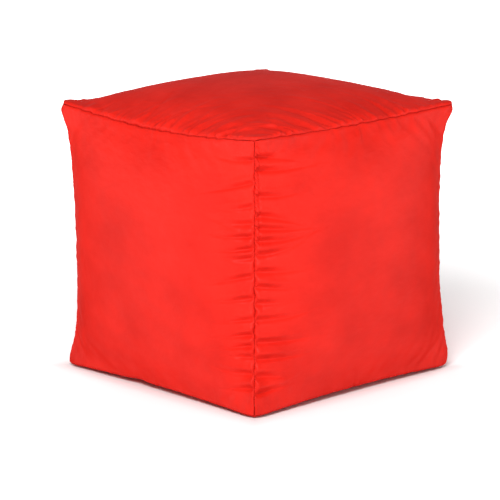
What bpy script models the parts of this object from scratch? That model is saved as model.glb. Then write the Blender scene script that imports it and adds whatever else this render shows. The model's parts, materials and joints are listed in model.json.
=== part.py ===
"""A cube bean bag: a sewn and zipped fabric cover, an inner liner with a zip of its own, and the bead fill.

The origin is on the floor under the middle of the bag, and +Z is up. The front panel faces -Y, and the
zips are low on the back, which faces +Y. All sizes are in metres.
"""

import math

import bmesh
import bpy
from mathutils import Matrix, Vector

# The bag
SIDE = 0.440  # between neighbouring corners of the cover
CORNER_HEIGHT = 0.430  # from the floor to the top corners
TOP_DOME = 0.034  # rise of the middle of the top over its corners
SIDE_BULGE = 0.018  # swell of the middle of a side past its corners
UPRIGHT_DRAW = 0.018  # how far the middle of an upright seam is drawn in, along X and Y alike
UPRIGHT_TOP_FADE = 0.09  # share of the height in which the draw dies away under the top
UPRIGHT_BASE_FADE = 0.12  # and over the base
LEVEL_DRAW = 0.005  # how far the middle of a top or base seam is drawn in
TOP_SAG = 0.011  # dip of the middle of a top seam under its corners
CORNER_LIFT = 0.003  # the base corners over the floor
EDGE_LIFT = 0.005  # further rise of the middle of a base seam
EAR_OUT = 0.003  # how far a top corner's ear pokes out, along X and Y alike
EAR_UP = 0.002
EAR_REACH = 0.035
DRAW_POWER = 5  # how closely a seam's draw keeps to the seam
BULGE_POWER = 2.4
FLAT_SHARE = 0.75  # share of the base that lies flat on the floor

# Cloth
PANEL_THICKNESS = 0.0012
LINER_THICKNESS = 0.0008
SEAM_GAP = 0.0030  # each panel's edge stops this far from the seam line
STITCH_RADIUS = 0.0008
STITCH_DEPTH = 0.0010  # the stitching's centre, in from the seam line along each axis
LINER_INSET = 0.010  # the liner's corners, in from the cover's
FILL_INSET = 0.016
CLEARANCE = 0.0003

# Zips
ZIP_HEIGHT = 0.075  # middle of the outer zip over the floor
LINER_ZIP_HEIGHT = 0.115
ZIP_HALF_LENGTH = 0.126  # half of the chain, from stop to stop
ZIP_TAPE_REACH = 0.144  # the tapes run this far from the middle
ZIP_TAPE_WIDTH = 0.015
ZIP_TAPE_THICKNESS = 0.0006
ZIP_HALF_OPENING = 0.0065  # from the middle of the chain to the hem of a panel
ZIP_FLAT_HALF_HEIGHT = 0.019  # the back is flat over the tapes
ZIP_FADE = 0.035  # the flat dies away over this height
COIL_HALF_GAP = 0.0006  # the slider's wedge runs between the two coils
COIL_WIDTH = 0.0023
COIL_THICKNESS = 0.0020
SLIDER_LENGTH = 0.013
SLIDER_WIDTH = 0.010
SLIDER_PLATE = 0.0010
SLIDER_FLANGE = 0.0010
WEDGE_HALF_WIDTH = 0.0003
WEDGE_LENGTH = 0.003
BAIL_RADIUS = 0.0005
BAIL_HALF_LENGTH = 0.0035
BAIL_RISE = 0.0029  # its middle line over the slider's face
PULL_AXIS_RISE = 0.0012  # the pull's axis over the slider's face
PULL_LENGTH = 0.024
PULL_WIDTH = 0.0065
PULL_THICKNESS = 0.0010
PULL_HOLE_LENGTH = 0.0047
PULL_HOLE_WIDTH = 0.0030
PULL_BAR = 0.0016  # the bar between the hole and the near end, which sits in the bail
STOP_LENGTH = 0.004

# Where the cloth's grid has its columns, as shares of half a side, and its rows, as shares of the height
HALF_COLUMNS = (0.2, 0.42, 0.635, 0.7, 0.85, 0.94, 1.0)
ROWS = (0.0, 0.05, 0.13, 0.24, 0.38, 0.52, 0.66, 0.8, 0.91, 0.97, 1.0)
LINER_HALF_COLUMNS = (0.3, 0.635, 0.7, 0.9, 1.0)
LINER_ROWS = (0.0, 0.07, 0.45, 0.6, 0.75, 0.9, 1.0)
FILL_HALF_COLUMNS = (0.4, 0.75, 1.0)
FILL_ROWS = (0.0, 0.15, 0.4, 0.65, 0.88, 1.0)

FRONT, RIGHT, BACK, LEFT = (turn * math.pi / 2 for turn in range(4))  # turns about Z from the front


def both_ways(halves):
    """Shares from -1 to 1, from those between 0 and 1."""
    return tuple(-share for share in reversed(halves)) + (0.0,) + halves


COLUMNS = both_ways(HALF_COLUMNS)


def clear_scene():
    for old in list(bpy.data.objects):
        bpy.data.objects.remove(old, do_unlink=True)


def collection(name):
    made = bpy.data.collections.new(name)
    bpy.context.scene.collection.children.link(made)
    return made


def material(name, colour, roughness, metallic=0.0):
    made = bpy.data.materials.new(name)
    made.use_nodes = True
    shader = made.node_tree.nodes["Principled BSDF"]
    shader.inputs["Base Color"].default_value = (*colour, 1.0)
    shader.inputs["Roughness"].default_value = roughness
    shader.inputs["Metallic"].default_value = metallic
    made.diffuse_color = (*colour, 1.0)
    return made


def place(name, data, look, where, turn=0.0):
    """A new object of that mesh or curve, with its material, turned about Z."""
    made = bpy.data.objects.new(name, data)
    made.rotation_euler.z = turn
    if not data.materials:
        data.materials.append(look)
    where.objects.link(made)
    return made


def smoothed(share):
    share = min(max(share, 0.0), 1.0)
    return share * share * (3 - 2 * share)


def dome(u, v):
    """1 in the middle of a square from -1 to 1, and 0 at its edges."""
    return (1 - abs(u) ** BULGE_POWER) * (1 - abs(v) ** BULGE_POWER)


class PillowCube:
    """A stuffed cube's surface, inset from the cover's. Loose is 1 where its seams sag and 0 where not."""

    def __init__(self, inset, loose, zip_height):
        self.half = SIDE / 2 - inset
        self.floor = inset
        self.top = CORNER_HEIGHT - inset
        self.loose = loose
        self.zip_height = zip_height
        self.zip_face = self.plain_side(0.0, zip_height)[1]

    def lift(self, along):
        return self.loose * (CORNER_LIFT + EDGE_LIFT * (1 - along**2))

    def sag(self, along):
        return self.loose * TOP_SAG * (1 - along**2)

    def level_draw(self, along):
        return LEVEL_DRAW * (1 - along**2)

    def upright_draw(self, share):
        """How far an upright seam is drawn in, at a share of its height."""
        under_top = 1 - math.exp((share - 1) / UPRIGHT_TOP_FADE)
        over_base = 1 - math.exp(-share / UPRIGHT_BASE_FADE)
        return UPRIGHT_DRAW * under_top * over_base

    def heights(self, along):
        """The base seam's height and the top seam's, at a share of half a side from the middle."""
        return self.floor + self.lift(along), self.top - self.sag(along)

    def plain_side(self, along, height):
        """(distance along the side, distance out from the middle) before the zip flattens the back."""
        low, high = self.heights(along)
        rise = 2 * (height - low) / (high - low) - 1
        drawn = abs(along) ** DRAW_POWER * self.upright_draw((rise + 1) / 2)
        out = self.half - drawn - abs(rise) ** DRAW_POWER * self.level_draw(along)
        out += SIDE_BULGE * dome(along, rise)
        return along * self.half - math.copysign(drawn, along), out

    def zip_hold(self, across, height):
        """1 where the zip holds the back flat, 0 away from it."""
        past_end = (abs(across) - ZIP_TAPE_REACH - 0.004) / (self.half - ZIP_TAPE_REACH - 0.015)
        past_tape = (abs(height - self.zip_height) - ZIP_FLAT_HALF_HEIGHT) / ZIP_FADE
        return (1 - smoothed(past_end)) * (1 - smoothed(past_tape))

    def side(self, along, height, zipped=False):
        """A point of the front panel, or of the back panel turned to the front."""
        across, out = self.plain_side(along, height)
        if zipped:
            out += self.zip_hold(across, height) * (self.zip_face - out)
        return self.eared(Vector((across, -out, height)))

    def upper(self, x, y):
        """A point of the top, from shares of half a side."""
        px = x * self.half - math.copysign(abs(x) ** DRAW_POWER * self.level_draw(y), x)
        py = y * self.half - math.copysign(abs(y) ** DRAW_POWER * self.level_draw(x), y)
        sags = abs(x) ** DRAW_POWER * self.sag(y) + abs(y) ** DRAW_POWER * self.sag(x)
        return self.eared(Vector((px, py, self.top - sags + TOP_DOME * dome(x, y))))

    def under(self, x, y):
        """A point of the base, from shares of half a side."""
        px = x * self.half - math.copysign(abs(x) ** DRAW_POWER * self.level_draw(y), x)
        py = y * self.half - math.copysign(abs(y) ** DRAW_POWER * self.level_draw(x), y)
        near_x, near_y = (smoothed((abs(s) - FLAT_SHARE) / (1 - FLAT_SHARE)) for s in (x, y))
        lift = self.lift(y) * near_x + self.lift(x) * near_y - self.lift(1.0) * near_x * near_y
        return self.eared(Vector((px, py, self.floor + lift)))

    def eared(self, point):
        """Pushes what is near a top corner outwards and up."""
        corner = Vector((math.copysign(self.half, point.x), math.copysign(self.half, point.y), self.top))
        near = math.exp(-(((point - corner).length / EAR_REACH) ** 2))
        out = EAR_OUT * near
        return point + Vector((math.copysign(out, point.x), math.copysign(out, point.y), EAR_UP * near))


COVER = PillowCube(0.0, 1.0, ZIP_HEIGHT)
LINER = PillowCube(LINER_INSET, 0.0, LINER_ZIP_HEIGHT)
FILL = PillowCube(FILL_INSET, 0.0, LINER_ZIP_HEIGHT)


def cloth_grid(columns, rows, spot):
    """An open sheet whose points are spot(column, row)."""
    sheet = bmesh.new()
    across, up = len(columns) - 1, len(rows) - 1
    bmesh.ops.create_grid(sheet, x_segments=across, y_segments=up, size=1.0)
    for v in sheet.verts:
        column = columns[round((v.co.x + 1) / 2 * across)]
        row = rows[round((v.co.y + 1) / 2 * up)]
        v.co = spot(column, row)
    return sheet


def mesh_of(name, made, smooth=True):
    data = bpy.data.meshes.new(name)
    made.to_mesh(data)
    made.free()
    if smooth:
        data.shade_smooth()
        data.set_sharp_from_angle(angle=math.radians(50))
    return data


def thicken(piece, thickness):
    """Makes a solid wall of an open sheet, on its inner side."""
    wall = piece.modifiers.new("wall", "SOLIDIFY")
    wall.thickness = thickness
    wall.offset = -1.0
    return piece


def trimmed(shares, margin):
    """Shares from -1 to 1, or 0 to 1, drawn in from their ends by a margin."""
    low, high = shares[0], shares[-1]
    scale = (high - low - 2 * margin) / (high - low)
    return [low + margin + (share - low) * scale for share in shares]


def side_panel_mesh():
    columns = trimmed(COLUMNS, SEAM_GAP / COVER.half)

    def spot(along, rise):
        low, high = COVER.heights(along)
        return COVER.side(along, low + SEAM_GAP + rise * (high - low - 2 * SEAM_GAP))

    return mesh_of("side_panel", cloth_grid(columns, ROWS, spot))


def back_panel_mesh(name, upper):
    """One of the two pieces of the back, which meet at the zip. Its hem opens around the chain."""
    columns = trimmed(COLUMNS, SEAM_GAP / COVER.half)
    rows = (0.0, 0.04, 0.12, 0.24, 0.4, 0.56, 0.72, 0.87, 0.95, 1.0) if upper else (0.0, 0.25, 0.6, 0.82, 1.0)

    def hem(along):
        past_chain = (abs(along) * COVER.half - ZIP_HALF_LENGTH - 0.010) / 0.010
        closed = STITCH_RADIUS + 2 * CLEARANCE
        return ZIP_HALF_OPENING + smoothed(past_chain) * (closed - ZIP_HALF_OPENING)

    def spot(along, rise):
        low, high = COVER.heights(along)
        if upper:
            start, end = ZIP_HEIGHT + hem(along), high - SEAM_GAP
        else:
            start, end = low + SEAM_GAP, ZIP_HEIGHT - hem(along)
        return COVER.side(along, start + rise * (end - start), zipped=True)

    return mesh_of(name, cloth_grid(columns, rows, spot))


def level_panel_mesh(name, spot):
    """The top or the base."""
    columns = trimmed(COLUMNS, SEAM_GAP / COVER.half)
    return mesh_of(name, cloth_grid(columns, columns, spot))


def cover_panels(look, where):
    side = side_panel_mesh()
    for name, turn in (("front_panel", FRONT), ("right_panel", RIGHT), ("left_panel", LEFT)):
        thicken(place(name, side, look, where, turn), PANEL_THICKNESS)
    for name, upper in (("back_upper_panel", True), ("back_lower_panel", False)):
        thicken(place(name, back_panel_mesh(name, upper), look, where, BACK), PANEL_THICKNESS)
    thicken(place("top_panel", level_panel_mesh("top_panel", COVER.upper), look, where), PANEL_THICKNESS)
    base = level_panel_mesh("base_panel", COVER.under)
    base.flip_normals()
    thicken(place("base_panel", base, look, where), PANEL_THICKNESS)


def tube(name, points, radius, look, where, closed=False, turn=0.0):
    """A thread, rod or wire through the points."""
    line = bpy.data.curves.new(name, "CURVE")
    line.dimensions = "3D"
    line.bevel_depth = radius
    line.bevel_resolution = 2
    line.use_fill_caps = not closed
    line.render_resolution_u = 0
    spline = line.splines.new("POLY")
    spline.points.add(len(points) - 1)
    for control, point in zip(spline.points, points):
        control.co = (*point, 1.0)
    spline.use_cyclic_u = closed
    return place(name, line, look, where, turn)


def sunk(point, axes, middle):
    """The point moved towards the middle by the stitching's depth along each of the axes."""
    moved = point.copy()
    for axis in axes:
        moved[axis] -= math.copysign(STITCH_DEPTH, moved[axis] - middle[axis])
    return moved


def level_seam(name, spot, look, where):
    """The stitching all round the top or the base."""
    middle = Vector((0.0, 0.0, CORNER_HEIGHT / 2))
    route = [(along, -1.0) for along in COLUMNS[:-1]]
    points = []
    for turn in (FRONT, RIGHT, BACK, LEFT):
        turned = Matrix.Rotation(turn, 3, "Z")
        points += [turned @ sunk(spot(*shares), (1, 2), middle) for shares in route]
    corners = range(0, len(points), len(route))
    for corner in corners:
        points[corner] = sunk(points[corner], (0, 1), middle)
    return tube(name, points, STITCH_RADIUS, look, where, closed=True)


def upright_seam(name, turn, look, where):
    """The stitching up the corner at the front panel's left, turned to its place."""
    middle = Vector((0.0, 0.0, CORNER_HEIGHT / 2))
    low, high = COVER.heights(1.0)
    room = 2 * STITCH_RADIUS + STITCH_DEPTH + 3 * CLEARANCE
    heights = [low + room + rise * (high - low - 2 * room) for rise in ROWS]
    points = [sunk(COVER.side(-1.0, height), (0, 1), middle) for height in heights]
    return tube(name, points, STITCH_RADIUS, look, where, turn=turn)


def back_seam(name, toward, look, where):
    """The stitching that closes the back between one end of the zip and the corner."""
    start = (ZIP_TAPE_REACH + 0.006) / COVER.half
    end = 1 - (SEAM_GAP + STITCH_RADIUS) / COVER.half
    shares = [start + step / 6 * (end - start) for step in range(7)]
    points = []
    for along in shares:
        point = COVER.side(-toward * along, ZIP_HEIGHT, zipped=True)
        points.append(point + Vector((0.0, PANEL_THICKNESS / 2, 0.0)))
    return tube(name, points, STITCH_RADIUS, look, where, turn=BACK)


def cover_seams(look, where):
    level_seam("top_seam_stitching", COVER.upper, look, where)
    level_seam("base_seam_stitching", COVER.under, look, where)
    corners = (("front_left", FRONT), ("front_right", RIGHT), ("back_right", BACK), ("back_left", LEFT))
    for name, turn in corners:
        upright_seam(f"{name}_corner_stitching", turn, look, where)
    back_seam("back_seam_stitching_left", -1, look, where)
    back_seam("back_seam_stitching_right", 1, look, where)


def pillow_mesh(name, pillow, columns, rows, slot):
    """A pillow cube's whole surface. Slot is the half length and half height of an opening in its back."""
    low, high = pillow.heights(0.0)
    heights = [low + rise * (high - low) for rise in rows]
    if slot:
        offsets = (-ZIP_FLAT_HALF_HEIGHT, -slot[1], slot[1], ZIP_FLAT_HALF_HEIGHT)
        away = [h for h in heights if abs(h - pillow.zip_height) > 1.3 * ZIP_FLAT_HALF_HEIGHT]
        heights = sorted(away + [pillow.zip_height + offset for offset in offsets])
    sheets = []
    for turn in (FRONT, RIGHT, BACK, LEFT):
        zipped = bool(slot) and turn == BACK
        sheet = cloth_grid(columns, heights, lambda a, h, zipped=zipped: pillow.side(a, h, zipped))
        bmesh.ops.rotate(sheet, cent=(0, 0, 0), matrix=Matrix.Rotation(turn, 3, "Z"), verts=sheet.verts)
        sheets.append(sheet)
    sheets.append(cloth_grid(columns, columns, pillow.upper))
    base = cloth_grid(columns, columns, pillow.under)
    bmesh.ops.reverse_faces(base, faces=base.faces)
    sheets.append(base)
    whole = bmesh.new()
    for sheet in sheets:
        part = bpy.data.meshes.new("part")
        sheet.to_mesh(part)
        sheet.free()
        whole.from_mesh(part)
        bpy.data.meshes.remove(part)
    bmesh.ops.remove_doubles(whole, verts=whole.verts, dist=0.0001)
    if slot:
        opened = [f for f in whole.faces if in_slot(f.calc_center_median(), pillow, slot)]
        bmesh.ops.delete(whole, geom=opened, context="FACES")
    return mesh_of(name, whole)


def in_slot(spot, pillow, slot):
    near = abs(spot.x) < slot[0] and abs(spot.z - pillow.zip_height) < slot[1]
    return near and spot.y > pillow.half / 2


def inner_bag(liner_look, bead_look, where):
    slot = (LINER_HALF_COLUMNS[1] * LINER.half, ZIP_HALF_OPENING)
    liner = pillow_mesh("inner_liner", LINER, both_ways(LINER_HALF_COLUMNS), LINER_ROWS, slot)
    thicken(place("inner_liner", liner, liner_look, where), LINER_THICKNESS)
    fill = pillow_mesh("bead_fill", FILL, both_ways(FILL_HALF_COLUMNS), FILL_ROWS, None)
    place("bead_fill", fill, bead_look, where)


def block(name, low, high, look, where):
    """A box between two corners, with its origin in its middle."""
    made = bmesh.new()
    bmesh.ops.create_cube(made, size=1.0)
    bmesh.ops.scale(made, vec=[b - a for a, b in zip(low, high)], verts=made.verts)
    box = place(name, mesh_of(name, made, smooth=False), look, where)
    box.location = [(a + b) / 2 for a, b in zip(low, high)]
    return box


def soften(piece, width):
    edge = piece.modifiers.new("edge", "BEVEL")
    edge.width = width
    edge.segments = 2
    edge.limit_method = "ANGLE"
    return piece


def joined(piece, *others):
    """Boolean unions of a piece with others, which become hidden guides."""
    for other in others:
        union = piece.modifiers.new(other.name, "BOOLEAN")
        union.operation = "UNION"
        union.object = other
        other.hide_render = True
        other.display_type = "WIRE"
    return piece


def arch_mesh(name, points, radius, look, where):
    """A bent wire as a mesh, so that it can be joined to a solid."""
    wire = tube(name + "_line", points, radius, look, where)
    bpy.context.view_layer.update()
    data = bpy.data.meshes.new_from_object(wire.evaluated_get(bpy.context.evaluated_depsgraph_get()))
    bpy.data.objects.remove(wire, do_unlink=True)
    closed = bmesh.new()
    closed.from_mesh(data)
    bmesh.ops.remove_doubles(closed, verts=closed.verts, dist=0.00001)
    closed.to_mesh(data)
    closed.free()
    return place(name, data, look, where)


class Zip:
    """A coil zip along X. Its plane, the tapes' outer face, faces +Y. Closed, its slider is at +X."""

    def __init__(self, prefix, face, height):
        self.prefix = prefix
        self.face = face
        self.height = height
        self.slider_x = ZIP_HALF_LENGTH - SLIDER_LENGTH / 2 - CLEARANCE

    def spot(self, x, out, up):
        """A world point from distances along the zip, out of its plane and up from its middle."""
        return (x, self.face + out, self.height + up)

    def box(self, name, low, high, look, where):
        return block(self.prefix + name, self.spot(*low), self.spot(*high), look, where)

    def tapes(self, look, where):
        inner, outer = COIL_HALF_GAP + 0.0002, ZIP_TAPE_WIDTH
        for name, near, far in (("tape_upper", inner, outer), ("tape_lower", -outer, -inner)):
            low = (-ZIP_TAPE_REACH, -ZIP_TAPE_THICKNESS, near)
            self.box(name, low, (ZIP_TAPE_REACH, 0.0, far), look, where)

    def coils(self, look, where):
        near, far = COIL_HALF_GAP, COIL_HALF_GAP + COIL_WIDTH
        outer = CLEARANCE + COIL_THICKNESS
        for name, low, high in (("coil_upper", near, far), ("coil_lower", -far, -near)):
            coil = self.box(
                name, (-ZIP_HALF_LENGTH, CLEARANCE, low), (ZIP_HALF_LENGTH, outer, high), look, where
            )
            soften(coil, 0.0006)

    def stops(self, look, where):
        """A small block over the two coils at each end of the chain."""
        out = CLEARANCE + COIL_THICKNESS
        reach = COIL_HALF_GAP + COIL_WIDTH
        for name, x in (("top_stop", ZIP_HALF_LENGTH), ("bottom_stop", -ZIP_HALF_LENGTH)):
            start = x + math.copysign(CLEARANCE, x)
            end = start + math.copysign(STOP_LENGTH, x)
            low = (min(start, end), CLEARANCE, -reach)
            soften(self.box(name, low, (max(start, end), out, reach), look, where), 0.0005)

    def slider(self, look, where, guides, with_bail):
        """Two plates around the coils, joined by a wedge. The outer has flanges, and a bail for a pull."""
        x = self.slider_x
        start, end = x - SLIDER_LENGTH / 2, x + SLIDER_LENGTH / 2
        plate = 2 * CLEARANCE + COIL_THICKNESS
        half = SLIDER_WIDTH / 2
        under = -ZIP_TAPE_THICKNESS - CLEARANCE
        body = self.box("slider", (start, plate, -half), (end, plate + SLIDER_PLATE, half), look, where)
        soften(body, 0.0004)
        bite = SLIDER_PLATE / 2  # how deep the joined pieces run into the plates
        near = COIL_HALF_GAP + COIL_WIDTH + CLEARANCE
        far = near + SLIDER_FLANGE
        shapes = {
            "flange_upper": ((start + bite, CLEARANCE, near), (end - bite, plate + bite, far)),
            "flange_lower": ((start + bite, CLEARANCE, -far), (end - bite, plate + bite, -near)),
            "inner_plate": ((start, under - SLIDER_PLATE, -half), (end, under, half)),
            "wedge": (
                (end - bite - WEDGE_LENGTH, under - bite, -WEDGE_HALF_WIDTH),
                (end - bite, plate + bite, WEDGE_HALF_WIDTH),
            ),
        }
        added = [self.box(name, *corners, look, guides) for name, corners in shapes.items()]
        if with_bail:
            added.append(self.bail(plate + SLIDER_PLATE, look, guides))
        return joined(body, *added)

    def bail(self, base, look, guides):
        """The arch over the slider that holds the pull. Base is the outer plate's face."""
        half, rise, foot = BAIL_HALF_LENGTH, BAIL_RISE, -SLIDER_PLATE / 2
        left = ((-half, foot), (-half, rise / 3), (-0.75 * half, 0.83 * rise))
        shape = (*left, (0.0, rise), *((-x, out) for x, out in reversed(left)))
        points = [self.spot(self.slider_x + x, base + out, 0.0) for x, out in shape]
        return arch_mesh(self.prefix + "bail", points, BAIL_RADIUS, look, guides)

    def pull_axis(self):
        """A point on the pull's axis, which is parallel to Z."""
        outer_plate = 2 * CLEARANCE + COIL_THICKNESS + SLIDER_PLATE
        return Vector(self.spot(self.slider_x, outer_plate + PULL_AXIS_RISE, 0.0))

    def pull(self, look, where):
        """A flat tab with a hole, whose end bar turns inside the bail. Its origin is on its axis."""
        outline = bpy.data.curves.new(self.prefix + "pull", "CURVE")
        outline.dimensions = "2D"
        outline.fill_mode = "BOTH"
        outline.extrude = PULL_THICKNESS / 2
        outline.render_resolution_u = 0
        bar = PULL_BAR / 2
        rounded_outline(outline, -PULL_LENGTH + bar, bar, PULL_WIDTH)
        rounded_outline(outline, -bar - PULL_HOLE_LENGTH, -bar, PULL_HOLE_WIDTH)
        tab = place(self.prefix + "pull", outline, look, where)
        tab.rotation_euler.x = math.pi / 2
        tab.location = self.pull_axis()
        return tab


def rounded_outline(outline, left, right, width, steps=4):
    """Adds a rectangle with round corners, from left to right along X, to a flat curve."""
    spline = outline.splines.new("POLY")
    points = []
    radius = 0.28 * width
    centres = (
        (right - radius, width / 2 - radius),
        (left + radius, width / 2 - radius),
        (left + radius, radius - width / 2),
        (right - radius, radius - width / 2),
    )
    for corner, (x, y) in enumerate(centres):
        for step in range(steps + 1):
            turn = math.pi / 2 * (corner + step / steps)
            points.append((x + radius * math.cos(turn), y + radius * math.sin(turn)))
    spline.points.add(len(points) - 1)
    for control, (x, y) in zip(spline.points, points):
        control.co = (x, y, 0.0, 1.0)
    spline.use_cyclic_u = True


def zips(tape, coil, metal, liner_tape, liner_coil, where, guides):
    outer = Zip("zip_", COVER.zip_face - PANEL_THICKNESS - CLEARANCE, ZIP_HEIGHT)
    liner = Zip("liner_zip_", LINER.zip_face - LINER_THICKNESS - CLEARANCE, LINER_ZIP_HEIGHT)
    for one, tape_look, coil_look in ((outer, tape, coil), (liner, liner_tape, liner_coil)):
        one.tapes(tape_look, where)
        one.coils(coil_look, where)
        one.stops(metal, where)
        one.slider(metal, where, guides, with_bail=one is outer)
    outer.pull(metal, where)


def build():
    clear_scene()
    parts, guides = collection("cube_bean_bag"), collection("guides")
    cover = material("cover_fabric", (0.80, 0.035, 0.022), 0.42)
    thread = material("thread", (0.62, 0.020, 0.014), 0.60)
    tape = material("zip_tape", (0.60, 0.022, 0.016), 0.70)
    coil = material("zip_coil", (0.50, 0.018, 0.014), 0.35)
    metal = material("zip_metal", (0.62, 0.62, 0.60), 0.30, 1.0)
    liner = material("liner_fabric", (0.83, 0.83, 0.80), 0.75)
    liner_tape = material("liner_zip_tape", (0.80, 0.80, 0.78), 0.75)
    liner_coil = material("liner_zip_coil", (0.78, 0.78, 0.75), 0.40)
    beads = material("beads", (0.92, 0.92, 0.90), 0.65)
    cover_panels(cover, parts)
    cover_seams(thread, parts)
    inner_bag(liner, beads, parts)
    zips(tape, coil, metal, liner_tape, liner_coil, parts, guides)


build()
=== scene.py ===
"""The looks of a cube bean bag: its stuffed cloth cover with its seams and puckers, zips, liner and beads."""

import json
import math

import bmesh
import bpy
import numpy as np
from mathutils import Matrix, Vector

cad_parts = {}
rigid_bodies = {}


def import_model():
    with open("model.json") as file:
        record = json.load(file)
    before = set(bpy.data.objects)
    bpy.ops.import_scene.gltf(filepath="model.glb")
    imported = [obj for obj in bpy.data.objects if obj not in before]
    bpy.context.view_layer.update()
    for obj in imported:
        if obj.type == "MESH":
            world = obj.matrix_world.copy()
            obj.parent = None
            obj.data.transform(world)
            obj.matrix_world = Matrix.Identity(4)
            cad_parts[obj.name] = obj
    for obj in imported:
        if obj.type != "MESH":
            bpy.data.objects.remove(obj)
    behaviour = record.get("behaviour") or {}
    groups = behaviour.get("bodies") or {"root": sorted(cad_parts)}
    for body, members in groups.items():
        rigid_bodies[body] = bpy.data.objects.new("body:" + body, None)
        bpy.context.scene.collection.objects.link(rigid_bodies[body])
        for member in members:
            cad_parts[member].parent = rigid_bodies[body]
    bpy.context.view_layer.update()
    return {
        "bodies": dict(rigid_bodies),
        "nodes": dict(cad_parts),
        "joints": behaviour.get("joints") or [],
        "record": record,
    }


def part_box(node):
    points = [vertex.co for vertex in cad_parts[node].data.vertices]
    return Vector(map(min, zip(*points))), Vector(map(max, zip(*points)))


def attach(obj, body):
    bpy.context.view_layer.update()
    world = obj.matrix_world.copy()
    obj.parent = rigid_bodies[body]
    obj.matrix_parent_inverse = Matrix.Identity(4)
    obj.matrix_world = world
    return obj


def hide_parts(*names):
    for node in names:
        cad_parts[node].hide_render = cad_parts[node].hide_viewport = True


# The cover's form, in metres
HALF = 0.220
CORNER_HEIGHT = 0.4304
TOP_DOME = 0.0344
DOME_POWER = 2.57
CORNER_PUFF = 0.030  # the top swells sooner at its corners
PUFF_REACH = 0.35
SIDE_BULGE = 0.025
BULGE_POWER = 2.4
UPRIGHT_DRAW = 0.018  # how far the middle of an upright seam is drawn in, along X and Y alike
# The shares of the height over which that draw dies away towards the top and the base, by corner
TOP_FADES = {(-1, -1): 0.20, (1, -1): 0.12, (1, 1): 0.09, (-1, 1): 0.12}
BASE_FADES = {(-1, -1): 0.07, (1, -1): 0.12, (1, 1): 0.17, (-1, 1): 0.12}
BASE_FADE_POWER = 1.3
LEVEL_DRAW = 0.004  # the same for the middle of a level seam
DRAW_POWER = 5
TOP_SAGS = {(0, 1): 0.006, (0, -1): 0.016, (1, 1): 0.008, (1, -1): 0.015}  # by axis and side
CORNER_LIFT = 0.003
EDGE_LIFT = 0.005
FLAT_SHARE = 0.75  # share of the base that lies flat
EAR_OUT = 0.0050
EAR_UP = 0.0002
EAR_REACH = 0.026
BACK_EAR = 0.2  # share of it at the back left corner
EAR_BLUNT = 0.0070  # how far the tip is pulled back along X and Y,
EAR_BLUNT_UP = 0.3  # and the share of that along Z
EAR_ROUND = 0.011
FOOT_BLUNT = 0.0055  # the same at a base corner
FOOT_ROUND = 0.016
SNAG_PLACE = -0.045  # the base seam is caught up here, along X, on the front
SNAG_REACH = 0.016
SNAG_LIFT = 0.0035

# Its cloth and seams
CLOTH_THICKNESS = 0.0005
TOP_LIP = 0.0014  # how far the cloth puffs out beside a seam
SIDE_LIP = 0.0006
LIP_REACH = 0.007
STRIP_WIDTH = 0.0085
STRIP_CREASE = 0.0018
CREASE_REACH = 0.0014
STRIP_TWIST = 0.0016
STRIP_SLANT = 0.6
STRIP_PITCH = 0.0074
STRIP_START = 0.16  # where the strip begins, as a share of the way up from the middle of the seam
GROOVE_DEPTH = 0.0024
GROOVE_REACH = 0.0017
TUCK_PLACE = -0.035  # the top seam is tucked deeper here, along X, on the front
TUCK_REACH = 0.035
TUCK_DEPTH = 0.0022
TUCK_HALF_WIDTH = 0.003
SWAYS = ((0.0009, 0, 0.035), (0.0005, 5, 0.013))  # how seams wander: how far, seed and wave length
SWAY_REACH = 0.012
SEAM_HALF_GAP = 0.0002
TURNED_IN = (0.0012, 0.003, 0.007)  # depths of the rows of cloth turned in along a seam
THREAD_RADIUS = 0.00028
STITCH_LENGTH = 0.0026
STITCH_PITCH = 0.0034
STITCH_RISES = ((0.0, -1.0), (0.15, 0.2), (0.5, 0.6), (0.85, 0.2), (1.0, -1.0))  # by share, in radii
THREAD_SIDES = 6
TOPSTITCH_RISE = 0.0001
LEVEL_LINES = (210, 0.62)  # how many lines cross the top or the base, and how evenly they are spaced
SIDE_COLUMNS = (150, 0.30)  # the upright ones on a side
SIDE_ROWS = (296, 0.90)  # the level ones on a side
UPPER_ROWS = 0.8  # share of them that is on the back's upper panel

# The zips
ZIP_HEIGHT = 0.075
LINER_ZIP_HEIGHT = 0.115
ZIP_HALF_LENGTH = 0.126
ZIP_TAPE_REACH = 0.144
ZIP_HALF_OPENING = 0.0065
HEM_OVER_TAPE = 0.0015
HEM_CLOSED_PAST = 0.010  # the hems start to close this far past the chain,
HEM_CLOSING = 0.010  # within this
HEM_STITCHES_PAST = 0.021  # past the chain by this much they are sewn together
HEM_TURNS = ((0.0003, 0.00005), (0.0009, 0.0001), (0.0011, 0.003), (0.0011, 0.008))  # depth and reach
ZIP_FLAT_HALF_HEIGHT = 0.019
ZIP_FADE = 0.035
TAPE_MARGIN = 0.004  # the back is held flat this far past the tapes' ends,
CORNER_MARGIN = 0.015  # and not at all this near to a corner
TAPE_THICKNESS = 0.0005
TAPE_RIB = 0.00008
TAPE_RIB_PITCH = 0.0030
COIL_TURNS = 660  # in a metre
COIL_WIRE = 0.00030
COIL_STEPS = 12  # in a turn
LINER_FLAT_HALF_HEIGHT = 0.056  # the liner's back lies flat behind both zips
LINER_FADE = 0.060
LINER_INSET = 0.0125
LINER_THICKNESS = 0.0004
LINER_OVER_TAPE = 0.0009
LINER_LINES = (60, 0.62)
SLOT_HALF_LENGTH = 0.132  # the slot in the liner, behind its zip's tapes
SLOT_HALF_HEIGHT = 0.0095
SLOT_SHARE = 0.4  # where along the slot its height is exact
FILL_INSET = 0.0175
FILL_BEHIND_SLIDER = 0.0010
WELD = 0.0002  # points nearer to each other than this become one

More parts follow.
